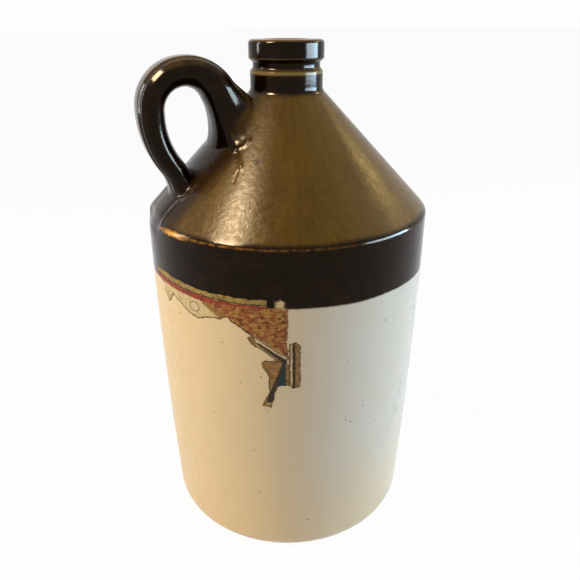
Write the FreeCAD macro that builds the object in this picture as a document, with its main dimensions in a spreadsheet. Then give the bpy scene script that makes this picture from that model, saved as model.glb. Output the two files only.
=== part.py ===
import FreeCAD, Part
import math
import os
import re
import Sketcher

# Stoneware jug of one US gallon: a thrown body with a straight cone above its shoulder and
# a short collared neck, a pulled strap handle from the neck down to the cone, and what is
# left of a paper label on the wall.
# Frame: +Z up, origin at the middle of the foot, handle towards -X, label towards -Y.
# Lengths are in millimetres and angles in degrees.

SIZES = [
    # turned body, outside
    ("shoulder_radius", 82.6, "largest radius, at the shoulder edge"),
    ("shoulder_height", 203.6, "height of the shoulder edge above the foot"),
    ("foot_radius", 77.4, "radius of the foot before its rounding"),
    ("wall_swell", 1.5, "how far the wall bows out half way up"),
    ("heel_round", 10.0, "rounding between wall and foot"),
    ("shoulder_round", 3.0, "rounding of the shoulder edge"),
    ("cone_height", 65.6, "rise of the cone from shoulder edge to collar"),
    # neck
    ("collar_radius", 20.3, "radius of the collar"),
    ("collar_height", 9.9, "height of the collar between cone and groove"),
    ("neck_flare", 5.0, "hollow rounding between cone and collar"),
    ("groove_height", 6.4, "height of the groove between collar and lip"),
    ("groove_depth", 1.6, "depth of that groove"),
    ("lip_radius", 20.9, "radius of the lip band"),
    ("lip_height", 9.7, "height of the lip band"),
    ("lip_round", 2.2, "rounding of the lip's upper edge"),
    ("band_round", 0.8, "rounding of the collar's and lip's edges at the groove"),
    # hollow inside
    ("wall", 7.5, "thickness of the wall and the cone"),
    ("floor", 9.0, "thickness of the floor"),
    ("bore_radius", 11.0, "radius of the bore through the neck"),
    ("mouth_round", 3.0, "rounding where the bore opens at the lip"),
    ("inner_round", 12.0, "rounding between wall and floor inside"),
    # handle: its line runs up a straight root by the neck, over the bend and down an arc
    ("handle_inset", 5.9, "handle's line at its outermost, inside the shoulder radius"),
    ("handle_rise", 11.3, "top of the handle's line above the foot of the collar"),
    ("bend_radius", 19.4, "radius of the bend over the top"),
    ("root_angle", 150.0, "turn of the bend from its outermost point to the upper root"),
    ("side_drop", 2.5, "straight run below the bend"),
    ("fall_radius", 46.0, "radius of the arc down to the shoulder"),
    ("root_sink", 5.0, "how deep both roots go into the wall"),
    ("upper_blend", 4.0, "hollow rounding where the upper root meets the cone"),
    ("lower_blend", 6.0, "hollow rounding where the lower root meets the cone"),
    ("strap_width", 29.0, "width of the strap"),
    ("strap_back", 19.0, "thickness of the strap where it leaves the upper root"),
    ("strap_top", 15.5, "thickness of the strap over the top"),
    ("strap_side", 14.8, "thickness of the strap at its outermost"),
    ("strap_low", 13.6, "thickness of the strap above its lower root"),
    ("upper_width", 36.0, "width of the upper root on the cone"),
    ("upper_depth", 28.5, "height of the upper root on the cone"),
    ("lower_width", 40.0, "width of the lower root on the cone"),
    ("lower_depth", 17.0, "height of the lower root on the cone"),
    ("flare_reach", 7.0, "length over which each root flares out"),
    # what is left of the label
    ("paper", 0.4, "thickness of the paper and its glue"),
    ("label_turn", 34.0, "turn of the label's middle from the handle towards the front"),
    ("label_angle", 90.0, "angle of the strip that the label was torn from"),
    ("label_drop", 26.6, "how far the label's upper edge lies below the shoulder edge"),
    ("label_height", 66.0, "height of the strip from that edge to its lowest torn point"),
]
ALIASES = {alias for alias, _, _ in SIZES}

doc = FreeCAD.newDocument("stoneware_jug")


def fill_sheet(rows):
    """Put every driving size in the sheet, each under its own alias."""
    sheet = doc.addObject("Spreadsheet::Sheet", "Sizes")
    for row, (alias, number, note) in enumerate(rows, 1):
        sheet.set(f"A{row}", note)
        sheet.set(f"B{row}", str(number))
        sheet.setAlias(f"B{row}", alias)
    doc.recompute()
    return sheet


sheet = fill_sheet(SIZES)


def cells(text):
    """The text as an expression, with every alias in it read from the sheet."""
    return re.sub(r"[a-z_]+", lambda m: f"Sizes.{m[0]}" if m[0] in ALIASES else m[0], text)


def number(text):
    """What the expression gives now."""
    result = sheet.evalExpression(cells(text))
    return float(getattr(result, "Value", result))


# --- Sketches -------------------------------------------------------------------------


def origin_part(body, role):
    """The origin plane or axis of a body with that role, such as XZ_Plane."""
    return next(f for f in body.Origin.OriginFeatures if f.Role == role)


def new_sketch(body, name, role="XZ_Plane", turned=None):
    """A sketch on an origin plane, turned about its own upright axis if turned is given."""
    sketch = body.newObject("Sketcher::SketchObject", name)
    sketch.AttachmentSupport = [(origin_part(body, role), "")]
    sketch.MapMode = "FlatFace"
    if turned:
        sketch.AttachmentOffset = FreeCAD.Placement(
            FreeCAD.Vector(), FreeCAD.Rotation(FreeCAD.Vector(0, 1, 0), 45))
        sketch.setExpression("AttachmentOffset.Rotation.Angle", cells(turned))
    return sketch


def bind(sketch, kind, places, name, text):
    """Add a dimension and tie it to an expression."""
    row = sketch.addConstraint(Sketcher.Constraint(kind, *places, number(text)))
    sketch.renameConstraint(row, name)
    sketch.setExpression(f"Constraints.{name}", cells(text))


def pin(sketch, geometry, end, name, radius, height):
    """Hold a point at two expressions; 0 holds it on that axis of the sketch."""
    for kind, text, axis in (("DistanceX", radius, -2), ("DistanceY", height, -1)):
        if text == "0":
            sketch.addConstraint(Sketcher.Constraint("PointOnObject", geometry, end, axis))
        else:
            bind(sketch, kind, (-1, 1, geometry, end), f"{name}_{kind[-1].lower()}", text)


def draw_outline(sketch, corners, bows=()):
    """Draw a closed outline of (name, radius, height) corners, in order.

    A side that starts at a corner named in bows is an arc through the point that bows
    gives for it, as (radius, height); every other side is straight.
    """
    bows = dict(bows)
    points = [FreeCAD.Vector(number(r), number(z), 0) for _, r, z in corners]
    ends = points[1:] + points[:1]
    sides = []
    for (name, _, _), start, end in zip(corners, points, ends):
        if name in bows:
            radius, height = bows[name]
            middle = FreeCAD.Vector(number(radius), number(height), 0)
            arc = sketch.addGeometry(Part.Arc(start, middle, end))
            # an arc keeps its ends in counterclockwise order
            turned = sketch.getPoint(arc, 1).distanceToPoint(start) > 1e-6
            sides.append((arc, 2, 1) if turned else (arc, 1, 2))
            mark = sketch.addGeometry(Part.Point(middle), True)
            pin(sketch, mark, 1, f"{name}_bow", radius, height)
            sketch.addConstraint(Sketcher.Constraint("PointOnObject", mark, 1, arc))
        else:
            sides.append((sketch.addGeometry(Part.LineSegment(start, end)), 1, 2))
    for (name, radius, height), (side, first, _) in zip(corners, sides):
        pin(sketch, side, first, name, radius, height)
    for (side, _, last), (after, first, _) in zip(sides, sides[1:] + sides[:1]):
        sketch.addConstraint(Sketcher.Constraint("Coincident", side, last, after, first))


# --- Features -------------------------------------------------------------------------


def turn(body, kind, name, sketch, angle=None):
    """Revolve a sketch about the jug's axis, all the way round or over an angle."""
    feature = body.newObject(f"PartDesign::{kind}", name)
    feature.Profile = sketch
    feature.ReferenceAxis = (origin_part(body, "Z_Axis"), [""])
    feature.Angle = 360 if angle is None else number(angle)
    if angle:
        feature.Midplane = True
        feature.setExpression("Angle", cells(angle))
    doc.recompute()
    return feature


def rings(shape, radius, height):
    """Names of the full circles about the axis with that radius and height."""
    names = []
    for index, edge in enumerate(shape.Edges, 1):
        curve = edge.Curve
        if not isinstance(curve, Part.Circle):
            continue
        if abs(curve.Radius - number(radius)) < 0.01 and abs(curve.Center.z - number(height)) < 0.01:
            names.append(f"Edge{index}")
    return names


def soften(body, name, base, edges, radius, refine=True):
    """Round the named edges of a feature; refine joins faces that carry on smoothly."""
    fillet = body.newObject("PartDesign::Fillet", name)
    fillet.Base = (base, edges)
    fillet.Refine = refine
    fillet.setExpression("Radius", cells(radius))
    doc.recompute()
    return fillet


COLLAR_FOOT = "shoulder_height + cone_height"
COLLAR_TOP = f"{COLLAR_FOOT} + collar_height"
LIP_FOOT = f"{COLLAR_TOP} + groove_height"
LIP_TOP = f"{LIP_FOOT} + lip_height"
CONE_STEEPNESS = "(cone_height / (shoulder_radius - collar_radius))"


def turned_outside(body):
    """The potter's outline: foot, wall, cone, collar, groove and lip."""
    sketch = new_sketch(body, "outside_outline")
    draw_outline(sketch, [
        ("middle", "0", "0"),
        ("foot", "foot_radius", "0"),
        ("shoulder", "shoulder_radius", "shoulder_height"),
        ("collar_foot", "collar_radius", COLLAR_FOOT),
        ("collar_top", "collar_radius", COLLAR_TOP),
        ("lip_foot", "lip_radius", LIP_FOOT),
        ("lip_top", "lip_radius", LIP_TOP),
        ("mouth", "0", LIP_TOP),
    ], bows={
        "foot": ("(foot_radius + shoulder_radius) / 2 + wall_swell", "shoulder_height / 2"),
        "collar_top": ("collar_radius - groove_depth", f"{COLLAR_TOP} + groove_height / 2"),
    })
    solid = turn(body, "Revolution", "turned_outside", sketch)
    for name, radius, height, rounding in (
        ("heel", "foot_radius", "0", "heel_round"),
        ("shoulder_edge", "shoulder_radius", "shoulder_height", "shoulder_round"),
        ("neck_hollow", "collar_radius", COLLAR_FOOT, "neck_flare"),
        ("collar_edge", "collar_radius", COLLAR_TOP, "band_round"),
        ("lip_edge", "lip_radius", LIP_FOOT, "band_round"),
        ("lip_crown", "lip_radius", LIP_TOP, "lip_round"),
    ):
        solid = soften(body, name, solid, rings(solid.Shape, radius, height), rounding)
    return solid


def hollow_inside(body):
    """Cut the inside and the bore, a wall's thickness behind the outside."""
    lean = f"sqrt(1 + {CONE_STEEPNESS} ^ 2)"
    # the inner cone lies a wall's thickness inside the outer one, square to it
    inner_rise = f"wall * {lean}"
    inner_shoulder = f"shoulder_height + wall * {CONE_STEEPNESS} - {inner_rise}"
    bore_foot = (f"shoulder_height + (shoulder_radius - bore_radius) * {CONE_STEEPNESS}"
                 f" - {inner_rise}")
    sketch = new_sketch(body, "inside_outline")
    draw_outline(sketch, [
        ("floor_middle", "0", "floor"),
        ("floor_edge", "foot_radius - wall", "floor"),
        ("inner_shoulder", "shoulder_radius - wall", inner_shoulder),
        ("bore_foot", "bore_radius", bore_foot),
        ("bore_top", "bore_radius", f"{LIP_TOP} - mouth_round"),
        ("mouth_edge", "bore_radius + mouth_round", LIP_TOP),
        ("mouth_middle", "0", LIP_TOP),
    ], bows={
        "floor_edge": ("(foot_radius + shoulder_radius) / 2 + wall_swell - wall",
                       f"(floor + {inner_shoulder}) / 2"),
        "bore_top": ("bore_radius + mouth_round * (1 - sqrt(0.5))",
                     f"{LIP_TOP} - mouth_round * (1 - sqrt(0.5))"),
    })
    before = body.Shape.Volume
    cut = turn(body, "Groove", "hollow_inside", sketch)
    if cut.Shape.Volume > 0.5 * before:
        raise RuntimeError("the jug is not hollow")
    return soften(body, "inner_heel", cut,
                  rings(cut.Shape, "foot_radius - wall", "floor"), "inner_round")


# --- Handle ---------------------------------------------------------------------------

# The handle's line lies in the XZ plane.  Radius and height of points on it:
BEND_R = "(shoulder_radius - handle_inset - bend_radius)"
BEND_Z = f"({COLLAR_FOOT} + handle_rise - bend_radius)"
FALL_R = "(shoulder_radius - handle_inset - fall_radius)"
FALL_Z = f"({BEND_Z} - side_drop)"


def on_bend(turned):
    """Point of the bend, turned that far back from its outermost point."""
    return (f"{BEND_R} + bend_radius * cos({turned})",
            f"{BEND_Z} + bend_radius * sin({turned})", turned)


def on_upper_root(along):
    """Point of the straight upper root, so far below the end of the bend."""
    radius, height, _ = on_bend("root_angle")
    return (f"{radius} - ({along}) * sin(root_angle)",
            f"{height} + ({along}) * cos(root_angle)", "root_angle")


def on_fall(turned, beyond="0"):
    """Point of the falling arc, turned that far, and so far on along its tangent."""
    return (f"{FALL_R} + fall_radius * cos({turned}) - ({beyond}) * sin({turned})",
            f"{FALL_Z} - fall_radius * sin({turned}) - ({beyond}) * cos({turned})",
            f"-1 * ({turned})")


def upper_root_length():
    """Length of the straight root from the end of the bend down to the cone."""
    radius, height, _ = on_bend("root_angle")
    over_cone = (f"(({height}) - shoulder_height"
                 f" - (shoulder_radius - ({radius})) * {CONE_STEEPNESS})")
    return f"{over_cone} / ({CONE_STEEPNESS} * sin(root_angle) - cos(root_angle))"


def fall_turn():
    """Turn of the falling arc where it meets the cone."""
    over_centre = (f"(shoulder_height - {FALL_Z}"
                   f" + (shoulder_radius - {FALL_R}) * {CONE_STEEPNESS})")
    lean = f"sqrt(1 + {CONE_STEEPNESS} ^ 2)"
    return f"((atan({CONE_STEEPNESS}) - asin({over_centre} / (fall_radius * {lean}))) / 1 deg)"


def draw_oval(sketch, width, depth):
    """Draw an oval of four arcs, crowned over its faces and rounder at its two ends."""
    end_radius = f"({depth}) * 0.42"
    end_centre = f"({width}) / 2 - {end_radius}"
    half, radius, away = (number(t) for t in (f"({depth}) / 2", end_radius, end_centre))
    face_radius = (away ** 2 + half ** 2 - radius ** 2) / (2 * (half - radius))
    along = FreeCAD.Vector(0, away, 0)
    # where a face passes into an end, seen from the face's own centre
    reach = FreeCAD.Vector(face_radius - half, away, 0).normalize() * face_radius
    joint = reach - FreeCAD.Vector(face_radius - half, 0, 0)
    corners = [FreeCAD.Vector(x, y, 0) for x, y in (
        (joint.x, -joint.y), (joint.x, joint.y), (-joint.x, joint.y), (-joint.x, -joint.y))]
    middles = [FreeCAD.Vector(half, 0, 0), along + FreeCAD.Vector(0, radius, 0),
               FreeCAD.Vector(-half, 0, 0), -along - FreeCAD.Vector(0, radius, 0)]
    arcs = [sketch.addGeometry(Part.Arc(corners[n], middles[n], corners[(n + 1) % 4]))
            for n in range(4)]
    for n in range(4):
        sketch.addConstraint(Sketcher.Constraint("Tangent", arcs[n], 2, arcs[(n + 1) % 4], 1))
    for name, arc, side in (("end", arcs[1], ""), ("far_end", arcs[3], "-1 * ")):
        sketch.addConstraint(Sketcher.Constraint("PointOnObject", arc, 3, -2))
        bind(sketch, "DistanceY", (-1, 1, arc, 3), f"{name}_centre", f"{side}({end_centre})")
    bind(sketch, "Radius", (arcs[1],), "end_radius", end_radius)
    sketch.addConstraint(Sketcher.Constraint("Equal", arcs[1], arcs[3]))
    for name, arc, side in (("face", arcs[0], ""), ("far_face", arcs[2], "-1 * ")):
        mark = sketch.addGeometry(Part.Point(middles[0 if arc == arcs[0] else 2]), True)
        pin(sketch, mark, 1, name, f"{side}({depth}) / 2", "0")
        sketch.addConstraint(Sketcher.Constraint("PointOnObject", mark, 1, arc))


def strap_section(body, name, place, width, depth):
    """An oval section of the strap, square to the handle's line."""
    radius, height, tilt = place
    sketch = new_sketch(body, name, "XY_Plane")
    sketch.AttachmentOffset = FreeCAD.Placement(
        FreeCAD.Vector(), FreeCAD.Rotation(FreeCAD.Vector(0, 1, 0), 45))
    sketch.setExpression("AttachmentOffset.Base.x", cells(f"-1 * ({radius})"))
    sketch.setExpression("AttachmentOffset.Base.z", cells(height))
    sketch.setExpression("AttachmentOffset.Rotation.Angle", cells(tilt))
    draw_oval(sketch, width, depth)
    return sketch


def strap_handle(body):
    """The pulled strap: ovals along the line, flared where they are pressed on."""
    root = upper_root_length()
    fall = fall_turn()
    flare = "flare_reach / fall_radius * 180 / pi"
    sections = [
        ("upper_sunk", on_upper_root(f"{root} + root_sink"), "upper_width", "upper_depth"),
        ("upper_root", on_upper_root(root), "upper_width", "upper_depth"),
        ("upper_flare", on_upper_root(f"{root} - flare_reach"),
         "(upper_width + 3 * strap_width) / 4", "(upper_depth + 2 * strap_back) / 3"),
        ("bend_start", on_bend("root_angle"), "strap_width", "strap_back"),
        ("bend_back", on_bend("(root_angle + 90) / 2"), "strap_width",
         "(strap_back + strap_top) / 2"),
        ("bend_top", on_bend("90"), "strap_width", "strap_top"),
        ("bend_front", on_bend("45"), "strap_width", "(strap_top + strap_side) / 2"),
        ("bend_end", on_bend("0"), "strap_width", "strap_side"),
        ("fall_start", on_fall("0"), "strap_width", "strap_side"),
        ("fall_middle", on_fall(f"({fall} - {flare}) / 2"), "strap_width",
         "(strap_side + strap_low) / 2"),
        ("lower_flare", on_fall(f"{fall} - {flare}"), "strap_width * 1.06", "strap_low"),
        ("lower_root", on_fall(fall), "lower_width", "lower_depth"),
        ("lower_sunk", on_fall(fall, "root_sink"), "lower_width", "lower_depth"),
    ]
    sketches = [strap_section(body, *section) for section in sections]
    loft = body.newObject("PartDesign::AdditiveLoft", "strap_handle")
    loft.Profile = sketches[0]
    loft.Sections = sketches[1:]
    doc.recompute()
    return loft


def root_seam(shape, upper):
    """Names of the edges where one of the handle's roots meets the cone."""
    low, steepness = number("shoulder_height"), number(CONE_STEEPNESS)
    outer, half_way = number("shoulder_radius"), number("shoulder_height + cone_height / 2")
    names = []
    for index, edge in enumerate(shape.Edges, 1):
        points = edge.discretize(7)
        radii = [math.hypot(p.x, p.y) for p in points]
        off_cone = [abs(p.z - low - (outer - r) * steepness) for p, r in zip(points, radii)]
        # the cone's own edges run round the axis or, on the side away from the handle, up it
        if max(off_cone) > 0.02 or max(radii) - min(radii) < 0.1 or points[3].x > 0:
            continue
        if (points[3].z > half_way) == upper:
            names.append(f"Edge{index}")
    return names


def blend_roots(body, solid):
    """Round the hollows where the two roots meet the cone."""
    for name, upper in (("lower_blend", False), ("upper_blend", True)):
        solid = soften(body, name, solid, root_seam(solid.Shape, upper), name, refine=False)


# --- Label ----------------------------------------------------------------------------

# The torn outline, as (name, millimetres round the wall from the label's middle towards
# the front, millimetres below the label's upper edge)
TORN = [
    ("top_front", 47, 1), ("crumb", 49, 4), ("frame_top", 48, 9), ("frame_side", 47, 21),
    ("bars_top", 52, 24), ("bars_side", 53, 51), ("bars_foot", 47, 50), ("teal_foot", 42, 50),
    ("tail_side", 41, 60), ("tail_tip", 36, 65), ("tail_back", 39, 56), ("brown_low", 40, 46),
    ("brown_back", 36, 34), ("brown_top", 43, 33), ("slant_foot", 46, 30),
    ("slant_middle", 39, 25), ("slant_top", 29, 16), ("gap_front", 17, 11),
    ("scrap_front", 9, 15), ("scrap_low", -2, 18), ("scrap_back", -14, 13),
    ("gap_back", -18, 11), ("shred_front", -22, 16), ("shred_back", -27, 14),
    ("stripe_back", -30, 8), ("end_low", -54, 6), ("end_tip", -57, 4), ("end_top", -52, 1),
    ("top_back", -30, 0), ("top_middle", 5, 1),
]


LABEL_TOP = "(shoulder_height - label_drop)"
LABEL_LOW = f"({LABEL_TOP} - label_height)"


def wall_at(height):
    """Radius of the wall's outside at a height."""
    part = f"(({height}) / shoulder_height)"
    return (f"foot_radius + (shoulder_radius - foot_radius) * {part}"
            f" + 4 * wall_swell * {part} * (1 - {part})")


def label_strip(body):
    """The whole strip of paper, one sheet thick on the wall."""
    middle = f"({LABEL_LOW} + {LABEL_TOP}) / 2"
    sketch = new_sketch(body, "strip_section", turned="180 + label_turn")
    draw_outline(sketch, [
        ("low", wall_at(LABEL_LOW), LABEL_LOW),
        ("low_face", f"{wall_at(LABEL_LOW)} + paper", LABEL_LOW),
        ("top_face", f"{wall_at(LABEL_TOP)} + paper", LABEL_TOP),
        ("top", wall_at(LABEL_TOP), LABEL_TOP),
    ], bows={
        "low_face": (f"{wall_at(middle)} + paper", middle),
        "top": (wall_at(middle), middle),
    })
    return turn(body, "Revolution", "label_strip", sketch, "label_angle")


def tear_away(body):
    """Cut away the strip outside the torn outline."""
    sketch = new_sketch(body, "torn_outline", turned="label_turn - 90")
    draw_outline(sketch, [
        (name, str(across), f"{LABEL_TOP} - {down}") for name, across, down in TORN])
    draw_outline(sketch, [
        ("sheet_low_back", "-1 * shoulder_radius", f"{LABEL_LOW} - 10"),
        ("sheet_low_front", "shoulder_radius", f"{LABEL_LOW} - 10"),
        ("sheet_top_front", "shoulder_radius", f"{LABEL_TOP} + 10"),
        ("sheet_top_back", "-1 * shoulder_radius", f"{LABEL_TOP} + 10"),
    ])
    before = body.Shape.Volume
    cut = body.newObject("PartDesign::Pocket", "torn_away")
    cut.Profile = sketch
    cut.Type = "ThroughAll"
    cut.Reversed = True
    doc.recompute()
    if not 0 < cut.Shape.Volume < 0.5 * before:
        raise RuntimeError("the tear took the wrong side of the label")
    return cut


# --- Build ----------------------------------------------------------------------------

jug = doc.addObject("PartDesign::Body", "jug")
doc.recompute()
turned_outside(jug)
strap_handle(jug)
# the inside is cut after the handle, so that it trims the sunk ends of both roots
hollow = hollow_inside(jug)
blend_roots(jug, hollow)

label_scrap = doc.addObject("PartDesign::Body", "label_scrap")
doc.recompute()
label_strip(label_scrap)
tear_away(label_scrap)

for thing in doc.Objects:
    if "Invalid" in thing.State or "Error" in thing.State:
        raise RuntimeError(f"{thing.Name} is {thing.State}")
for body in (jug, label_scrap):
    if body.Shape.isNull() or not body.Shape.isValid() or len(body.Shape.Solids) != 1:
        raise RuntimeError(f"{body.Name} is not one sound solid")
    print(body.Name, round(body.Shape.Volume / 1000, 1), "cm3", body.Shape.BoundBox)
os.makedirs("parts", exist_ok=True)
for body in (jug, label_scrap):
    body.Label = body.Name
    body.Placement = FreeCAD.Placement()
    body.Shape.exportStep(f"parts/{body.Name}.step")
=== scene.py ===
import math

import bpy
import numpy as np
from mathutils import Matrix, Vector, noise


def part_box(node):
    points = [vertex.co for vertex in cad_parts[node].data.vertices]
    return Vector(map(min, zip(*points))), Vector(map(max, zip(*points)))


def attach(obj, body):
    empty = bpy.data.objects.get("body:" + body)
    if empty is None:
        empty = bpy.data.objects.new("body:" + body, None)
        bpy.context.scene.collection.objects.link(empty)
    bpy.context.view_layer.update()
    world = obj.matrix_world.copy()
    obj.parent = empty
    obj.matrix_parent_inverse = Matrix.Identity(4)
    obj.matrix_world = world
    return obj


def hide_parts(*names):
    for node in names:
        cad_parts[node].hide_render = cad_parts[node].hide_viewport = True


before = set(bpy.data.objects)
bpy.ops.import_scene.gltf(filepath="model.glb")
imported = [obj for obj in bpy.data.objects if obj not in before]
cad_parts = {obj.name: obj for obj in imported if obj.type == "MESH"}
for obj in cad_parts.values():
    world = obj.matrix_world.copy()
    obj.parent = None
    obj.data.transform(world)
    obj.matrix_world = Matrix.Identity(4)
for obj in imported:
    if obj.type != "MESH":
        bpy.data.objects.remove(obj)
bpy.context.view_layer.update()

MM = 0.001

# --- The jug's own sizes, in millimetres ------------------------------------------------

# The wall rises from the foot to the shoulder, the cone from there to the collar, and the
# neck from there to the lip. Radii and heights are those of the corners before rounding.
JUG_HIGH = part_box("jug")[1]
FOOT_R = 77.4
SHOULDER_R = round(JUG_HIGH[0] / MM, 1)
SHOULDER_Z = 203.6
SWELL = 1.5  # how far the wall bulges past a straight line, half way up
COLLAR_R = 20.3
COLLAR_Z = 269.2
GROOVE_Z = 279.1
GROOVE_R = COLLAR_R - 1.6
LIP_Z = 285.5
LIP_R = 20.9
TOP_Z = round(JUG_HIGH[2] / MM, 1)
BORE_R = 11.0
MOUTH_Z = 280.0  # inside the bore, where the outer outline hands over to the inner one
WALL = 7.5
FLOOR = 9.0
SLOPE = (COLLAR_Z - SHOULDER_Z) / (SHOULDER_R - COLLAR_R)
LEAN = math.hypot(1, SLOPE)
BAND_Z = 172.0  # where the brown glaze ends and the cream starts

# The handle's middle line: a bend over the top, then a wider fall to the lower root. Each
# is an arc round a centre (radius, height), over an angle in degrees from straight outward.
BEND_C = (57.3, 261.1)
BEND_R = 19.4
BEND_TURN = 150
FALL_C = (30.7, 258.6)
FALL_R = 46.0
FALL_TURN = 36

# How far the body and the strap stay inside the CAD faces, and the roots sink into the cone.
BODY_INSET = 0.02
STRAP_INSET = 0.05
ROOT_SINK = 0.25


def cone_z(r):
    """The cone's height at a radius."""
    return SHOULDER_Z + (SHOULDER_R - r) * SLOPE


def swell(z):
    """How far the wall bulges at a height."""
    t = np.clip(z / SHOULDER_Z, 0, 1)
    return 4 * SWELL * t * (1 - t)


def wall_r(z):
    """The wall's radius at a height below the shoulder."""
    return FOOT_R + (SHOULDER_R - FOOT_R) * z / SHOULDER_Z + swell(z)


# --- Mesh helpers -----------------------------------------------------------------------

ARC_STEP = 0.35  # millimetres between points on a rounded corner


def rounded_chain(corners, step):
    """Points along straight sides whose corners (x, y, rounding) are rounded.

    step gives the distance between points on a straight side, from its middle.
    """
    pts = []
    n = len(corners)
    ends = []
    for i, (x, y, rad) in enumerate(corners):
        p = np.array([x, y], float)
        if i in (0, n - 1) or rad == 0:
            ends.append((p, p, [p]))
            continue
        a = np.array(corners[i - 1][:2], float) - p
        b = np.array(corners[i + 1][:2], float) - p
        a /= np.linalg.norm(a)
        b /= np.linalg.norm(b)
        half = math.acos(max(-1, min(1, a @ b))) / 2
        cut = rad / math.tan(half)
        mid = (a + b) / np.linalg.norm(a + b)
        c = p + mid * rad / math.sin(half)
        p0, p1 = p + a * cut, p + b * cut
        t0 = math.atan2(*(p0 - c)[::-1])
        t1 = math.atan2(*(p1 - c)[::-1])
        d = (t1 - t0 + math.pi) % (2 * math.pi) - math.pi
        k = max(4, int(abs(d) * rad / ARC_STEP) + 1)
        arc = [c + rad * np.array([math.cos(t0 + d * j / k), math.sin(t0 + d * j / k)])
               for j in range(k + 1)]
        ends.append((p0, p1, arc))
    for i in range(n):
        pts += ends[i][2]
        if i + 1 < n:
            p, q = ends[i][1], ends[i + 1][0]
            k = int(np.linalg.norm(q - p) / step(0.5 * (p + q))) + 1
            pts += [p + (q - p) * j / k for j in range(1, k)]
    out = [pts[0]]
    for p in pts[1:]:
        if np.linalg.norm(p - out[-1]) > 1e-4:
            out.append(p)
    return np.array(out)


def new_piece(name, verts, faces, smooth=True):
    """An object from vertices in millimetres."""
    mesh = bpy.data.meshes.new(name)
    mesh.from_pydata([tuple(v) for v in np.asarray(verts) * MM], [], faces)
    mesh.validate()
    mesh.update()
    if smooth:
        mesh.polygons.foreach_set("use_smooth", [True] * len(mesh.polygons))
    piece = bpy.data.objects.new(name, mesh)
    bpy.context.scene.collection.objects.link(piece)
    return piece


def grid_faces(rows, cols):
    """Quads over rings of points, each ring closed."""
    faces = []
    for i in range(rows - 1):
        for j in range(cols):
            k = (j + 1) % cols
            faces.append((i * cols + j, i * cols + k, (i + 1) * cols + k, (i + 1) * cols + j))
    return faces


def segment_distance(x, y, start, end):
    """Distance from points to a straight piece of line."""
    (ax, ay), (bx, by) = start, end
    dx, dy = bx - ax, by - ay
    t = np.clip(((x - ax) * dx + (y - ay) * dy) / (dx * dx + dy * dy), 0, 1)
    return np.hypot(x - ax - t * dx, y - ay - t * dy)


def ridge(distance, wide):
    """1 on a line, falling smoothly to nothing away from it."""
    return np.exp(-(distance / wide) ** 2)


def spline(knots, values, places):
    """A smooth closed curve through values at knots from 0 to 360."""
    knots, values = np.asarray(knots, float), np.asarray(values, float)
    k = np.concatenate([knots[-3:-1] - 360, knots, knots[1:3] + 360])
    v = np.concatenate([values[-3:-1], values, values[1:3]])
    slope = np.gradient(v, k)
    i = np.clip(np.searchsorted(k, places, side="right") - 1, 0, len(k) - 2)
    h = k[i + 1] - k[i]
    t = (places - k[i]) / h
    return ((2 * t ** 3 - 3 * t ** 2 + 1) * v[i] + (t ** 3 - 2 * t ** 2 + t) * h * slope[i]
            + (-2 * t ** 3 + 3 * t ** 2) * v[i + 1] + (t ** 3 - t ** 2) * h * slope[i + 1])


# --- Jug body ---------------------------------------------------------------------------

# The mesh is finer above a height and on the handle's side, where the hand-made marks are.
RING_STEP, FINE_STEP, INNER_STEP = 3.0, 0.8, 6.0
FINE_Z = 165.0
TURN_STEP, FINE_TURN = 1.5, 0.45  # degrees
FINE_FROM, FINE_TO = 142, 232


def body_outline():
    """Radius and height from the foot's middle, up the outside and down the inside."""
    under = WALL * LEAN  # from the cone straight down to its inside
    outer = rounded_chain([
        (0, 0, 0), (FOOT_R, 0, 10), (SHOULDER_R, SHOULDER_Z, 3.0), (COLLAR_R, COLLAR_Z, 5.0),
        (COLLAR_R, GROOVE_Z, 0.8), (GROOVE_R, GROOVE_Z + 1.9, 1.6), (GROOVE_R, LIP_Z - 1.9, 1.6),
        (LIP_R, LIP_Z, 0.8), (LIP_R, TOP_Z, 2.2), (BORE_R, TOP_Z, 3.0), (BORE_R, MOUTH_Z, 0)],
        lambda p: RING_STEP if p[1] < FINE_Z else FINE_STEP)
    inner = rounded_chain([
        (BORE_R, MOUTH_Z, 0), (BORE_R, cone_z(BORE_R) - under, 4),
        (SHOULDER_R - WALL, cone_z(SHOULDER_R - WALL) - under, 4),
        (FOOT_R - WALL, FLOOR, 12), (0, FLOOR, 0)], lambda p: INNER_STEP)
    for line in (outer, inner):
        line[:, 0] += np.where(line[:, 0] > 30, swell(line[:, 1]), 0)
        line[:, 0] = np.minimum(line[:, 0], SHOULDER_R - BODY_INSET)
    return outer, inner


def body_angles():
    """Angles round the axis, closer together by the handle."""
    fine = np.arange(FINE_FROM, FINE_TO, FINE_TURN)
    coarse = np.arange(FINE_TO, FINE_FROM + 360, TURN_STEP)
    return np.radians(np.concatenate([fine, coarse]))


def near_line(x, y, line):
    """Distance in plan from points to a line of (radius, side) points, side towards -Y."""
    points = [(-math.sqrt(r * r - side * side), -side) for r, side in line]
    return np.min([segment_distance(x, y, *ends) for ends in zip(points, points[1:])], axis=0)


# Smeared clay and wiped marks on the cone by the handle: line, height, half width.
MARKS = [
    ([(45.6, 25.4), (43.4, 27.6), (41.0, 27.4)], 0.6, 0.9),
    ([(46.3, 26.6), (48.6, 30.4), (50.6, 33.0)], -0.5, 1.0),
    ([(50.6, 33.6), (52.0, 35.4)], 0.6, 1.1),
    ([(53.2, 36.0), (56.0, 37.2), (58.4, 39.6)], -0.25, 0.6),
    ([(62.5, 20.0), (66.6, 21.0), (71.0, 18.2), (76.0, 17.0), (80.5, 17.6)], 0.6, 1.6),
    ([(66.0, 17.5), (71.0, 14.2), (78.0, 13.6)], -0.5, 2.2),
    ([(66.0, -16.5), (71.5, -14.5), (79.0, -14.0)], 0.5, 1.6),
]


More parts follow.
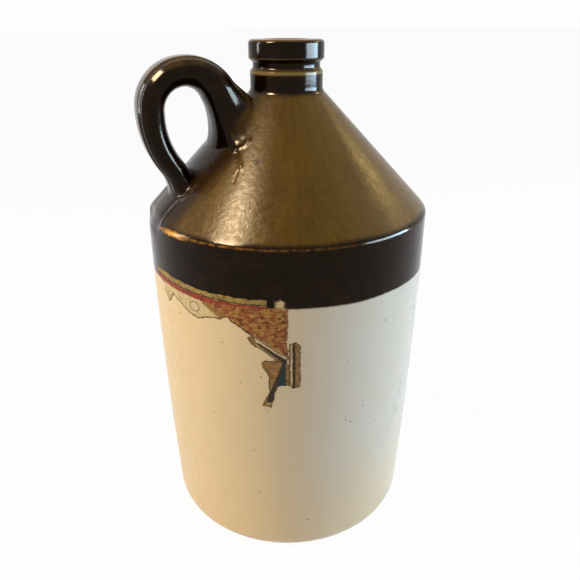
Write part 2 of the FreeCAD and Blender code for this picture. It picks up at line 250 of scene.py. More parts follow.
def shaped(verts):
    """The outside with its hand-made irregularities."""
    x, y, z = verts[:, 0], verts[:, 1], verts[:, 2]
    r = np.hypot(x, y) + 1e-9
    on_cone = (np.abs(z - cone_z(r)) < 4) & (r > 23) & (x < 0)
    lift = sum(height * ridge(near_line(x, y, line), wide) for line, height, wide in MARKS)
    lift *= 0.75 + 0.2 * np.sin(x * 0.9 + 1.3) * np.cos(y * 0.8)
    lift = np.where(on_cone, lift, 0)
    # the shoulder's edge, wiped rounder below the handle
    side = np.degrees(np.arctan2(-y, -x))
    wiped = np.exp(-(side / 13.0) ** 4)
    drop = 2.6 * ridge(np.hypot(r - SHOULDER_R, z - SHOULDER_Z), 4.2) * wiped * (r > 70)
    outward = lift * SLOPE / LEAN - drop * 0.62
    upward = lift / LEAN - drop * 0.78
    return verts + np.stack([outward * x / r, outward * y / r, upward], 1)


def body_mesh():
    """The body turned from its outline, closed by a fan under the foot and one on the floor."""
    outer, inner = body_outline()
    angles = body_angles()
    cols = len(angles)
    rings = np.concatenate([outer[1:], inner[1:-1]])
    verts = np.concatenate([
        np.stack([r * np.cos(angles), r * np.sin(angles), np.full(cols, z)], 1) for r, z in rings])
    outside = (len(outer) - 1) * cols
    verts = np.concatenate([shaped(verts[:outside]), verts[outside:], [[0, 0, 0], [0, 0, FLOOR]]])
    faces = grid_faces(len(rings), cols)
    last = (len(rings) - 1) * cols
    foot = last + cols
    for j in range(cols):
        k = (j + 1) % cols
        faces.append((foot, k, j))
        faces.append((foot + 1, last + j, last + k))
    return verts, faces


# --- Handle -----------------------------------------------------------------------------

# Points round the handle, and rings along each part of it.
ROUND_COUNT = 96
BEND_RINGS, FALL_RINGS, ROOT_RINGS = 57, 27, 20
# Along the strap, from the upper root over the top to the lower end: share of the way,
# then the strap's depth or width there.
STRAP_DEPTH = [(0, 19), (0.14, 17.3), (0.28, 15.6), (0.42, 15.2), (0.68, 14.8), (0.86, 14.2), (1, 13.6)]
STRAP_WIDTH = [(0, 29.6), (0.08, 29), (0.9, 29), (1, 30)]
STRAP_POWER = 2 / 2.35  # the section is a squarish oval
# Lines drawn by fingers along the strap: distance from the middle, height, half width.
FINGER_MIDDLE = -0.4
FINGER_LINES = [(10.6, 0.4, 0.9), (8.2, -0.55, 1.1), (5.8, 0.25, 1.2)]


def handle_line():
    """Frames along the handle's line from the upper root round to the lower one.

    Each is (point, direction, outward normal) in the handle's own plane (radius, height).
    """
    def frame_at(centre, radius, degrees):
        t = math.radians(degrees)
        c, s = math.cos(t), math.sin(t)
        return (centre[0] + radius * c, centre[1] + radius * s), (s, -c), (c, s)

    bend = [frame_at(BEND_C, BEND_R, turn) for turn in np.linspace(BEND_TURN, 0, BEND_RINGS)]
    straight = ((FALL_C[0] + FALL_R, (BEND_C[1] + FALL_C[1]) / 2), (0, -1), (1, 0))
    fall = [frame_at(FALL_C, FALL_R, -turn) for turn in np.linspace(0, FALL_TURN, FALL_RINGS)]
    return bend + [straight] + fall


def cone_point(r, side):
    """A point just under the cone's face, at a radius and a distance to the side."""
    angle = math.asin(side / r)
    out = r - ROOT_SINK * SLOPE / LEAN
    return np.array([-out * math.cos(angle), -out * math.sin(angle), cone_z(r) - ROOT_SINK / LEAN])


def bezier(p0, p1, p2, p3, steps):
    """Points along a cubic curve, after its first."""
    t = np.linspace(0, 1, steps + 1)[1:, None]
    return (1 - t) ** 3 * p0 + 3 * (1 - t) ** 2 * t * p1 + 3 * (1 - t) * t * t * p2 + t ** 3 * p3


# Where each root lands on the cone, going round it: turn from its outer face, radius, side
# (towards the front), then how far it holds the strap's line and how far it runs out along
# the cone.
UPPER = [
    (0, 22.4, 0, 2, 0), (30, 23.6, 7.5, 2, 0), (55, 26.8, 12.8, 4, 2), (75, 30.6, 17.6, 6, 6),
    (98, 36.2, 23.0, 7, 9), (118, 42.0, 26.4, 8, 9), (134, 45.6, 21.6, 9, 1.0),
    (156, 48.2, 12.0, 8, 6.5), (180, 48.6, 0, 8.5, 8), (205, 48.0, -11.0, 8.5, 7),
    (235, 43.0, -21.5, 8, 5), (262, 36.0, -22.5, 7, 6), (292, 29.0, -16.5, 5, 4),
    (328, 24.0, -8.0, 2, 0), (360, 22.4, 0, 2, 0),
]
LOWER = [
    (0, 71.4, 0, 3, 2.5), (30, 70.7, 10.0, 3, 2.5), (60, 68.6, 16.6, 4, 2.5),
    (90, 65.6, 18.0, 5, 3), (120, 62.6, 15.0, 5, 1.5), (150, 59.6, 8.5, 5, 0.8),
    (180, 58.8, 0, 5, 0.8), (210, 59.2, -9.5, 4, 1.2), (240, 61.6, -18.0, 5, 3),
    (270, 64.8, -21.0, 6, 5), (300, 68.5, -18.5, 5, 4), (330, 70.8, -10.0, 3, 3),
    (360, 71.4, 0, 3, 2.5),
]


def flare(ring, direction, turn, sign, landing):
    """Rings from the strap's end to the cone, turning to run out along it."""
    table = np.array(landing, float)
    radius, side, hold, run = (spline(table[:, 0], column, turn) for column in table.T[1:])
    middle = (table[0, 1] + table[len(table) // 2, 1]) / 2
    further = 1.03  # a little further out, which tells which way the root spreads
    head = np.array([direction[0], 0, -direction[1]]) * sign
    lines = []
    for j, start in enumerate(ring):
        land = cone_point(radius[j], side[j])
        away = cone_point(middle + (radius[j] - middle) * further, side[j] * further) - land
        away /= np.linalg.norm(away) + 1e-9
        lines.append(bezier(start, start + head * max(0.5, hold[j]),
                            land - away * max(0.0, run[j]), land, ROOT_RINGS))
    return np.stack(lines, 1)


def smeared(rings, turn):
    """The upper root with the ridge of clay that was smeared down its near side."""
    ahead = np.gradient(rings, axis=0)
    across = np.roll(rings, -1, 1) - np.roll(rings, 1, 1)
    square = np.cross(ahead, across)
    square /= np.linalg.norm(square, axis=2, keepdims=True) + 1e-9
    if (square[2, 0] @ np.array([-0.5, 0, 0.8])) < 0:
        square = -square
    t = np.linspace(1 / len(rings), 1, len(rings))[:, None]
    rise = 0.8 * ridge(turn - 131 + 6 * t, 5.0) * np.clip(t * 2 - 0.5, 0, 1)
    dip = 0.5 * ridge(turn - 143 + 4 * t, 6.0) * np.clip(t * 2 - 0.6, 0, 1)
    return rings + square * (rise - dip)[:, :, None]


def handle_mesh():
    """The strap and its two roots as one tube."""
    frames = handle_line()
    phi = np.linspace(0, math.tau, ROUND_COUNT, endpoint=False)
    turn = np.degrees(phi)
    along = np.linspace(0, 1, len(frames))
    depths = np.interp(along, *zip(*STRAP_DEPTH))
    widths = np.interp(along, *zip(*STRAP_WIDTH))
    c, s = (np.sign(v) * np.abs(v) ** STRAP_POWER for v in (np.cos(phi), np.sin(phi)))
    rings = []
    for (point, _, out), depth, width in zip(frames, depths, widths):
        y = -s * width / 2
        mark = np.abs(y - FINGER_MIDDLE)
        lines = sum(height * ridge(mark - place, wide) for place, height, wide in FINGER_LINES)
        reach = c * (depth / 2 - STRAP_INSET) + np.where(c > 0, lines, 0)
        rings.append(np.stack([-(point[0] + out[0] * reach), y, point[1] + out[1] * reach], 1))
    upper = smeared(flare(rings[0], frames[0][1], turn, 1, UPPER), turn)
    lower = flare(rings[-1], frames[-1][1], turn, -1, LOWER)
    rings = np.concatenate([upper[::-1], rings, lower])
    return rings.reshape(-1, 3), [face[::-1] for face in grid_faces(len(rings), ROUND_COUNT)]


# --- Build ------------------------------------------------------------------------------

body_v, body_f = body_mesh()
hand_v, hand_f = handle_mesh()
jug = new_piece("jug_glazed", np.concatenate([body_v, hand_v]),
                body_f + [tuple(i + len(body_v) for i in face) for face in hand_f])

# --- Materials --------------------------------------------------------------------------


class Nodes:
    """Short ways to lay out a material's nodes, in millimetres."""

    def __init__(self, name):
        self.mat = bpy.data.materials.new(name)
        self.mat.use_nodes = True
        self.tree = self.mat.node_tree
        self.shader = self.tree.nodes["Principled BSDF"]
        coord = self.tree.nodes.new("ShaderNodeTexCoord")
        big = self.tree.nodes.new("ShaderNodeVectorMath")
        big.operation = "SCALE"
        big.inputs["Scale"].default_value = 1000
        self.link(coord.outputs["Object"], big.inputs[0])
        self.place = big.outputs[0]
        split = self.tree.nodes.new("ShaderNodeSeparateXYZ")
        self.link(self.place, split.inputs[0])
        self.x, self.y, self.z = split.outputs

    def link(self, a, b):
        self.tree.links.new(a, b)

    def put(self, value, socket):
        if isinstance(value, bpy.types.NodeSocket):
            self.link(value, socket)
        else:
            socket.default_value = value

    def math(self, op, *args):
        node = self.tree.nodes.new("ShaderNodeMath")
        node.operation = op
        for value, socket in zip(args, node.inputs):
            self.put(value, socket)
        return node.outputs[0]

    def add(self, *args):
        out = args[0]
        for value in args[1:]:
            out = self.math("ADD", out, value)
        return out

    def mul(self, *args):
        out = args[0]
        for value in args[1:]:
            out = self.math("MULTIPLY", out, value)
        return out

    def sub(self, a, b):
        return self.math("SUBTRACT", a, b)

    def length(self, a, b):
        return self.math("SQRT", self.add(self.mul(a, a), self.mul(b, b)))

    def swing(self, value, wide):
        """A noise turned into millimetres either side of nothing."""
        return self.mul(self.sub(value, 0.5), wide)

    def step(self, value, low, high):
        """0 at low, 1 at high, smooth between."""
        node = self.tree.nodes.new("ShaderNodeMapRange")
        node.interpolation_type = "SMOOTHSTEP"
        flip = low > high
        self.put(value, node.inputs["Value"])
        node.inputs["From Min"].default_value = min(low, high)
        node.inputs["From Max"].default_value = max(low, high)
        node.inputs["To Min"].default_value = 1.0 if flip else 0.0
        node.inputs["To Max"].default_value = 0.0 if flip else 1.0
        return node.outputs["Result"]

    def bell(self, value, middle, wide):
        """1 at the middle, falling off on both sides."""
        return self.step(self.math("ABSOLUTE", self.sub(value, middle)), wide, 0)

    def mix(self, factor, a, b):
        node = self.tree.nodes.new("ShaderNodeMix")
        node.data_type = "RGBA"
        self.put(factor, node.inputs["Factor"])
        for value, key in ((a, "A"), (b, "B")):
            self.put(value + (1,) if isinstance(value, tuple) else value, node.inputs[key])
        return node.outputs["Result"]

    def paint(self, colour, *coats):
        """Lays coats of (share, colour) over a colour, one after another."""
        for share, coat in coats:
            colour = self.mix(share, colour, coat)
        return colour

    def noise(self, size, detail=2.0, rough=0.5, place=None, stretch=None):
        """Noise whose features are about size millimetres."""
        node = self.tree.nodes.new("ShaderNodeTexNoise")
        node.inputs["Scale"].default_value = 1.0 / size
        node.inputs["Detail"].default_value = detail
        node.inputs["Roughness"].default_value = rough
        where = place or self.place
        if stretch:
            scaled = self.tree.nodes.new("ShaderNodeVectorMath")
            scaled.operation = "MULTIPLY"
            scaled.inputs[1].default_value = stretch
            self.link(where, scaled.inputs[0])
            where = scaled.outputs[0]
        self.link(where, node.inputs["Vector"])
        return node.outputs["Fac"]

    def spots(self, size, low, high):
        """Round spots, 1 inside."""
        node = self.tree.nodes.new("ShaderNodeTexVoronoi")
        node.inputs["Scale"].default_value = 1.0 / size
        self.link(self.place, node.inputs["Vector"])
        return self.step(node.outputs["Distance"], high, low)

    def vector(self, x, y, z):
        node = self.tree.nodes.new("ShaderNodeCombineXYZ")
        for value, socket in zip((x, y, z), node.inputs):
            self.put(value, socket)
        return node.outputs[0]

    def bump(self, height, depth, under=None):
        """Bump whose height runs 0-1 over depth millimetres."""
        node = self.tree.nodes.new("ShaderNodeBump")
        node.inputs["Distance"].default_value = depth * MM
        self.link(height, node.inputs["Height"])
        if under:
            self.link(under, node.inputs["Normal"])
        return node.outputs[0]

    def finish(self, colour, rough, normal, specular):
        self.link(colour, self.shader.inputs["Base Color"])
        self.put(rough, self.shader.inputs["Roughness"])
        self.link(normal, self.shader.inputs["Normal"])
        self.shader.inputs["Specular IOR Level"].default_value = specular
        return self.mat


# Brown glaze: thick, lighter brown over faces that look up, and thinner over edges
DARK = (0.0046, 0.0018, 0.0009)
DARK_WARM = (0.014, 0.0055, 0.002)
BROWN_FACING_UP = (0.105, 0.056, 0.015)
LIP_TOP = (0.20, 0.092, 0.030)
AMBER = (0.42, 0.17, 0.03)
# amber of glaze broken thin over the edge, brightened into a painted glint
AMBER_BREAK_GLINT = (0.80, 0.40, 0.075)
GROOVE_OLIVE = (0.27, 0.19, 0.06)
LIP_OLIVE = (0.20, 0.12, 0.04)
# Olive on the cone, and what lies over it, with painted shade and a painted dark reflection by the
# handle
OLIVE = (0.108, 0.058, 0.0075)
OLIVE_DEEP = (0.080, 0.041, 0.0060)
OLIVE_WARM = (0.14, 0.074, 0.014)
OLIVE_PALE = (0.155, 0.088, 0.020)
SPECK = (0.035, 0.018, 0.006)
PIT = (0.02, 0.009, 0.004)
BLOTCH = (0.045, 0.021, 0.005)
# painted shade of the handle on the cone round its roots
HANDLE_SHADE = (0.015, 0.0075, 0.0024)
# painted dark reflection on the wiped tail below the lower root
TAIL_DARK_REFLECTION = (0.012, 0.0045, 0.0018)
STONE = (0.016, 0.006, 0.002)
# Cream below the band
CREAM = (0.58, 0.50, 0.37)
# painted light: the cream as lit warm on the handle's side and cool on the far side
CREAM_PAINTED_WARM_LIGHT = (0.64, 0.49, 0.29)
CREAM_PAINTED_COOL_LIGHT = (0.53, 0.54, 0.51)
CREAM_CLOUD = (0.58, 0.47, 0.32)
CREAM_LOW = (0.62, 0.47, 0.27)
STAIN = (0.50, 0.33, 0.16)
PIN = (0.10, 0.055, 0.028)
BAND_EDGE = (0.045, 0.018, 0.010)
CLAY = (0.42, 0.30, 0.18)

SHINE_TINT = (1.0, 0.80, 0.58, 1)
STONE_AT = (-30.2, -38.6)  # a dark stone in the glaze beside the upper root


class Glaze(Nodes):
    """The jug's glaze: olive on the cone, brown on neck, handle and band, cream below."""

    def __init__(self):
        super().__init__("stoneware_glaze")
        self.r = self.length(self.x, self.y)
        self.ux = self.math("DIVIDE", self.x, self.r)
        self.uy = self.math("DIVIDE", self.y, self.r)
        geometry = self.tree.nodes.new("ShaderNodeNewGeometry")
        facing = self.tree.nodes.new("ShaderNodeSeparateXYZ")
        self.link(geometry.outputs["Normal"], facing.inputs[0])
        self.up = facing.outputs[2]
        self.wave = self.noise(0.55, 3, 0.5, place=self.vector(self.ux, self.uy, 0.0))
        self.small = self.noise(2.5, 3, 0.6)
        self.mottle = self.noise(9, 4, 0.6)
        self.cloud = self.noise(28, 4, 0.55, stretch=(1, 1, 0.45))
        self.pin = self.mul(self.spots(8.5, 0.045, 0.085), self.step(self.noise(20, 2), 0.40, 0.50))
        # painted shade: the cone darkened round and between the handle's roots, where the handle shades
        # it and is reflected in it
        self.handle_shade = self.mul(self.handle_strip(6.0, 34, 20), self.step(self.x, -22, -38))

    def handle_strip(self, ragged, wide, core):
        """1 in a strip along the handle's plane, core wide to each side, and 0 past wide."""
        off = self.math("ABSOLUTE", self.add(self.y, self.mul(self.small, ragged)))
        return self.step(off, wide, core)

    def drips(self, size, detail, rough, drift):
        """Noise drawn out down the cone."""
        place = self.vector(self.ux, self.uy, self.mul(self.r, drift))
        return self.noise(size, detail, rough, place=place)

    def olive(self):
        """The cone: drips and streaks, specks and pits, and painted shade and a painted dark reflection
        by the handle.
        """
        streak = self.drips(0.07, 3, 0.55, 0.004)
        broad = self.drips(0.4, 2, 0.5, 0.01)
        speck = self.noise(1.3, 2, 0.7)
        blotch = self.step(self.noise(3.4, 5, 0.7), 0.52, 0.66)
        # the wiped tail below the lower root, darkened as a painted dark reflection
        wiped = self.mul(self.handle_strip(2.5, 20.5, 15.5), self.step(self.x, -58, -63))
        squashed = math.sqrt(1.6)
        stone = self.length(self.sub(self.x, STONE_AT[0]),
                            self.mul(self.sub(self.y, STONE_AT[1]), squashed))
        stone = self.step(self.add(stone, self.mul(self.small, 3.0)), 4.4, 2.4)
        return self.paint(
            self.mix(self.step(streak, 0.36, 0.68), OLIVE_DEEP, OLIVE),
            (self.mul(self.step(broad, 0.40, 0.65), 0.45), OLIVE_WARM),
            (self.mul(self.step(self.mottle, 0.5, 0.75), 0.25), OLIVE_PALE),
            (self.mul(self.step(speck, 0.66, 0.76), 0.6), SPECK),
            (self.mul(self.spots(9, 0.02, 0.09), 0.8), PIT),
            (self.mul(blotch, self.step(self.x, 5, -35), 0.5), BLOTCH),
            # painted shade and reflection of the handle round its roots
            (self.mul(self.handle_shade, 0.92), HANDLE_SHADE),
            # painted dark reflection on the tail
            (self.mul(wiped, 0.95), TAIL_DARK_REFLECTION),
            (self.mul(stone, 0.85), STONE))

    def on_cone(self):
        """Where olive shows: on the cone, clear of the handle, neck and shoulder edge."""
        cone = self.math("MULTIPLY_ADD", self.sub(SHOULDER_R, self.r), SLOPE, SHOULDER_Z)
        over = self.math("DIVIDE", self.sub(self.z, cone), LEAN)
        spread = self.mul(self.step(self.r, 50, 40), 7.5)
        close = self.step(self.sub(self.add(over, self.mul(self.small, 1.2)), spread), 3.2, 0.6)
        edge = self.add(self.r, self.swing(self.wave, 2.0), self.swing(self.small, 1.2))
        return self.mul(
            close, self.step(edge, SHOULDER_R - 0.6, SHOULDER_R - 3.0),
            self.step(edge, COLLAR_R + 0.5, COLLAR_R + 2.7), self.step(self.up, 0.35, 0.55),
            self.step(self.z, SHOULDER_Z - 5.6, SHOULDER_Z - 1.6))

    def dark(self):
        """Nearly black brown, lighter brown on faces that look up, such as the strap's outer side."""
        faces_up = self.mul(self.step(self.up, 0.35, 0.92),
                        self.step(self.z, SHOULDER_Z + 0.4, SHOULDER_Z + 8.4))
        return self.paint(
            DARK,
            (self.step(self.mottle, 0.45, 0.78), DARK_WARM),
            # lighter brown where faces look up
            (self.mul(faces_up, self.step(self.mottle, 0.1, 0.55), 0.85), BROWN_FACING_UP),
            (self.mul(self.step(self.z, TOP_Z - 1.2, TOP_Z - 0.2), 0.8), LIP_TOP))

    def broken(self, brown):
        """Amber and olive where brown glaze breaks over the shoulder's, groove's and lip's edges, with
        a bright amber spot on the shoulder's edge by the handle that is partly breaking glaze and
        partly a painted glint.
        """
        nick = self.step(self.noise(3.0, 3, 0.6), 0.38, 0.60)
        off = self.length(self.sub(self.r, SHOULDER_R - 0.6), self.sub(self.z, SHOULDER_Z - 0.4))
        line = self.mul(self.step(off, 1.0, 0.3), self.add(self.mul(nick, 0.55), 0.10),
                        self.add(self.mul(self.step(self.x, 10, -70), 0.75), 0.25))
        # partly glaze broken thin over the shoulder's edge, partly a painted glint
        break_glint = self.mul(self.bell(self.y, -33.0, 13.0), self.step(self.x, -50, -60),
                         self.step(self.add(off, self.mul(nick, 0.45)), 2.3, 1.0))
        neck = self.mul(self.step(self.r, COLLAR_R - 1.8, COLLAR_R - 0.7),
                        self.step(self.r, COLLAR_R + 3.7, COLLAR_R + 1.7))
        return self.paint(
            brown, (line, AMBER), (self.mul(break_glint, 0.85), AMBER_BREAK_GLINT),
            (self.mul(self.bell(self.z, GROOVE_Z - 0.5, 1.5), neck, 0.8), GROOVE_OLIVE),
            (self.mul(self.bell(self.z, LIP_Z + 0.3, 0.6), neck, 0.3), LIP_OLIVE))

    def cream(self):
        """Cream with painted light: warmer on the handle's side, where the warm lamp falls, and cooler
        on the far side, where the cool window falls; also warmer towards the foot, with stains and pin
        spots.
        """
        stain = self.mul(self.step(self.noise(14, 5, 0.65), 0.60, 0.74), self.step(self.z, 90, 20))
        return self.paint(
            # painted light: warm on the handle's side and cool on the far side, as the two lamps fall
            self.mix(self.step(self.x, -60, 25), CREAM_PAINTED_WARM_LIGHT, CREAM_PAINTED_COOL_LIGHT),
            (0.3, CREAM),
            (self.mul(self.step(self.cloud, 0.42, 0.72), 0.35), CREAM_CLOUD),
            (self.mul(self.step(self.z, 95, 0), 0.5), CREAM_LOW),
            (self.mul(stain, 0.4), STAIN),
            (self.mul(self.pin, 0.75), PIN))

    def roughness(self, on_cone, on_cream, bare):
        """Glossy brown, a softer cone, cream a little worn and a dry foot."""
        brown = self.add(self.mul(self.step(self.noise(1.1, 3, 0.6), 0.3, 0.7), 0.05), 0.10)
        cone = self.add(self.mul(self.step(self.small, 0.3, 0.7), 0.12), 0.22)
        # a little glossier where the handle's painted shade lies
        cone = self.sub(cone, self.mul(self.handle_shade, 0.08))
        cream = self.add(self.mul(self.step(self.cloud, 0.3, 0.7), 0.10), 0.14)
        return self.add(self.mul(on_cone, self.sub(cone, brown)), brown,
                        self.mul(on_cream, cream), self.mul(bare, 0.5))

    def relief(self, on_cone, on_cream):
        """Throwing rings, orange peel, the cone's grain and sunk pin spots."""
        turned = self.vector(self.mul(self.ux, 0.35), self.mul(self.uy, 0.35), self.mul(self.z, 0.22))
        normal = self.bump(self.noise(1.0, 2, 0.5, place=turned), 0.03)
        normal = self.bump(self.noise(4.5, 3, 0.5), 0.05, normal)
        normal = self.bump(self.mul(self.small, on_cone), 0.12, normal)
        return self.bump(self.sub(1.0, self.mul(self.pin, on_cream)), 0.04, normal)


def glaze():
    """The finished glaze: brown and olive above the band's edge, cream below, a bare foot."""
    n = Glaze()
    on_cone = n.on_cone()
    level = n.add(n.z, n.swing(n.wave, 2.2), n.swing(n.small, 0.7))
    on_cream = n.step(level, BAND_Z + 0.25, BAND_Z - 0.25)
    bare = n.step(n.z, 0.9, 0.2)
    brown = n.broken(n.mix(on_cone, n.dark(), n.olive()))
    colour = n.paint(
        n.mix(on_cream, brown, n.cream()),
        (n.mul(n.bell(level, BAND_Z, 0.9), 0.55), BAND_EDGE),
        (n.mul(bare, 0.8), CLAY))
    n.shader.inputs["Specular Tint"].default_value = SHINE_TINT
    return n.finish(colour, n.roughness(on_cone, on_cream, bare), n.relief(on_cone, on_cream), 0.12)


jug.data.materials.append(glaze())
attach(jug, "root")
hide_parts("jug")

# --- Label scraps -----------------------------------------------------------------------

ROUND = math.radians(1) * 83.6  # millimetres along the wall for a degree
LABEL_TURN = 0.2  # the label grid's steps, in degrees round and millimetres up
LABEL_RISE = 0.29


def inside_depth(a, z, polygon):
    """How far points (degrees, height) lie inside a polygon, in millimetres."""
    x, y = np.asarray(a) * ROUND, np.asarray(z)
    corners = [(turn * ROUND, height) for turn, height in polygon]
    sides = list(zip(corners, corners[1:] + corners[:1]))
    best = np.min([segment_distance(x, y, *ends) for ends in sides], axis=0)
    odd = np.zeros(x.shape, bool)
    for (ax, ay), (bx, by) in sides:
        if by != ay:
            odd ^= ((ay > y) != (by > y)) & (x < ax + (y - ay) * (bx - ax) / (by - ay))
    return np.where(odd, best, -best)


def waver(a, z, size, seed):
    """Smooth noise over the label whose features are about size millimetres."""
    places = zip((a * ROUND / size).ravel(), (z / size).ravel())
    return np.array([noise.noise((p, q, seed)) for p, q in places]).reshape(a.shape)


def torn(a, z, reach, seed):
    """A torn edge's wandering, in millimetres."""
    return reach * sum(amount * waver(a, z, size, seed)
                       for size, amount in ((4.5, 0.9), (1.6, 0.5), (0.7, 0.25)))


# What is left of the paper, as rough polygons of (degrees from the handle towards the
# front, height). Their edges are torn by noise.
SHEETS = [
    # the strip along the top, the scraps that hang from it and the corner ornament
    [(7.4, 177.6), (7.0, 175.4), (9.6, 172.2), (13.5, 171.2), (13.6, 166.6), (16.5, 161.6),
     (18.6, 163.2), (21.2, 167.6), (23.0, 166.2), (27, 163.2), (31, 160.2), (35, 159.6),
     (38, 161.4), (44.5, 162.8), (47.5, 164.0), (52.0, 159.8), (56.8, 155.4), (63.0, 149.6),
     (66.0, 144.6), (69.9, 142.0), (70.4, 148.0), (69.6, 153.4), (70.0, 158.0), (70.0, 172.4),
     (69.0, 173.0), (69.1, 176.0), (67.6, 177.2), (65.6, 176.2), (65.4, 172.6), (62.6, 172.2),
     (62.8, 176.6), (50, 176.6), (30, 177.4), (16, 178.4), (7.4, 178.8)],
    # the frame's dark slanting line and the scrap at its end
    [(54.6, 154.4), (57.6, 156.4), (60.4, 153.4), (69.6, 144.6), (70.0, 139.0), (67.6, 140.2),
     (59.6, 148.4), (57.2, 150.6)],
    # the brown scrap, the tail and the blue corner
    [(60.0, 139.8), (61.4, 142.0), (68.6, 141.4), (70.6, 139.0), (70.6, 126.2), (66.2, 125.8),
     (65.2, 122.0), (64.8, 117.0), (63.8, 111.8), (60.2, 112.4), (61.0, 116.4), (63.0, 121.0),
     (62.6, 131.0), (61.4, 136.0)],
    # the upright bars of the frame
    [(70.4, 152.0), (73.0, 152.8), (74.6, 149.8), (74.8, 125.0), (71.4, 124.2), (70.4, 127.0)],
]


def blob(a, z, size, wide):
    """A roughly round patch on the label."""
    turns = [k * math.tau / 20 for k in range(20)]
    return [(a + wide * size / ROUND * (1 + 0.08 * math.sin(2 * t + a)) * math.cos(t),
             z + size * (1 + 0.08 * math.cos(3 * t + z)) * math.sin(t)) for t in turns]


# The scrap's printed rings: angle, height, outer and inner size, and how wide for its height.
RINGS = [(33.2, 166.2, 3.1, 2.5, 1.1), (17.2, 166.0, 1.6, 1.1, 1.0), (25.6, 167.4, 1.0, 0.6, 1.0)]

# Printed fields, each laid over those before it.
FIELDS = {
    "strip": [[(0, 180.5), (16, 179.8), (30, 178.6), (50, 177.8), (64, 177.8), (64, 174.0),
               (50, 173.8), (30, 174.6), (16, 175.6), (0, 176.8)]],
    "red": [[(0, 176.2), (16, 175.0), (30, 174.1), (50, 173.2), (63.4, 173.4), (63.4, 171.6),
             (54, 170.6), (40, 170.6), (28, 171.6), (16, 172.6), (0, 174.2)]],
    "ornament": [[(47, 171.8), (71, 171.8), (71, 143.4), (66.5, 146.8), (60.0, 153.2),
                  (52.4, 160.4), (47.2, 164.8), (42, 168.0), (40, 171.0)]],
    "scrap": [
        [(10, 172.2), (28, 171.4), (40, 170.4), (42, 168.2), (47.2, 164.4), (46, 158), (10, 158)],
        [(64.6, 178.5), (70.2, 178.5), (70.2, 173.2), (64.6, 173.0)],
        [(57.5, 156.4), (70.5, 144.2), (70.5, 139.0), (68.4, 141.8), (60, 150.2), (58.2, 153.0)],
        [(70.4, 154), (71.7, 154), (71.7, 124), (70.2, 124)],
    ],
    "brown": [
        [(36.5, 170.8), (41.5, 170.4), (47.2, 165.4), (46.6, 162.0), (43.6, 164.2), (39.0, 168.0)],
        [(54, 156), (58.0, 156), (58.6, 151), (56, 149)],
        [(59, 143), (68.6, 143), (68.6, 140.6), (64.6, 127), (62.6, 120), (60, 120)],
        [(72.7, 154), (75.6, 154), (75.6, 123), (72.7, 123)],
        [(69.2, 139.6), (70.6, 139.6), (70.6, 125), (69.2, 125)],
        [(59.6, 117.4), (62.2, 118), (61.6, 113.6), (64.6, 113.0), (64.4, 111), (59, 111)],
    ],
    "ink": [
        [(0, 177.0), (16, 175.8), (30, 174.8), (50, 174.0), (63.4, 174.2), (63.4, 173.6),
         (50, 173.3), (30, 174.1), (16, 175.1), (0, 176.3)],
        [(47.0, 165.3), (52.4, 161.0), (60.0, 153.8), (66.5, 147.4), (70.6, 144.2), (70.6, 143.6),
         (66.5, 146.7), (60.0, 153.1), (52.4, 160.3), (47.0, 164.6)],
        [(58.4, 151.8), (59.6, 152.0), (70.2, 141.8), (70.0, 140.0), (68.6, 140.6)],
        [(68.2, 141.2), (69.2, 141.0), (66.6, 128.0), (65.4, 121.0), (64.2, 115.2), (61.8, 114.6),
         (62.4, 118.4), (64.6, 126.8)],
        [(71.7, 153.4), (72.7, 153.4), (72.7, 123.8), (71.7, 123.8)],
        [(68.8, 139.2), (69.3, 139.2), (69.3, 126), (68.8, 126)],
    ],
    "teal": [[(68.3, 138.6), (68.9, 138.4), (68.9, 125.4), (66.0, 125.4), (66.6, 128.2)]],
    "ring": [blob(a, z, outer, wide) for a, z, outer, inner, wide in RINGS],
    "pale": [blob(a, z, inner, wide) for a, z, outer, inner, wide in RINGS],
}
OUTLINED = ("scrap", "brown")  # these have a dark rim where they are torn, as bare paper does

# Colours of each kind of printed paper: clean, blotted, worn through, and how much is worn.
PAPERS = {
    "bare": ((0.42, 0.30, 0.15), (0.24, 0.15, 0.06), (0.11, 0.07, 0.035), 0.5),
    "strip": ((0.31, 0.215, 0.055), (0.12, 0.075, 0.016), (0.52, 0.42, 0.19), 0.5),
    "red": ((0.27, 0.042, 0.020), (0.15, 0.022, 0.012), (0.46, 0.20, 0.10), 0.35),
    "ring": ((0.16, 0.10, 0.045), (0.24, 0.16, 0.07), (0.40, 0.30, 0.17), 0.4),
    "pale": ((0.56, 0.47, 0.31), (0.50, 0.40, 0.23), (0.30, 0.21, 0.11), 0.25),
    "scrap": ((0.54, 0.43, 0.25), (0.44, 0.33, 0.17), (0.22, 0.14, 0.07), 0.35),
    "brown": ((0.30, 0.165, 0.052), (0.13, 0.065, 0.018), (0.46, 0.33, 0.13), 0.5),
    "ink": ((0.020, 0.015, 0.010), (0.045, 0.030, 0.015), (0.22, 0.15, 0.06), 0.35),
    "teal": ((0.012, 0.040, 0.055), (0.008, 0.022, 0.030), (0.06, 0.07, 0.05), 0.3),
    "rim": ((0.085, 0.050, 0.020), (0.16, 0.095, 0.04), (0.30, 0.21, 0.11), 0.5),
}


def label_grid():
    """A grid over the label: angle, height, depth inside the torn edge, the edge's wander."""
    a, z = np.meshgrid(np.arange(-10, 78, LABEL_TURN), np.arange(109, 181, LABEL_RISE))
    near = np.max([inside_depth(a, z, sheet) for sheet in SHEETS], axis=0)
    wander = np.zeros(a.shape)
    close = np.abs(near) < 3
    wander[close] = torn(a[close], z[close], 0.8, 3.1)
    return a, z, near + wander, wander


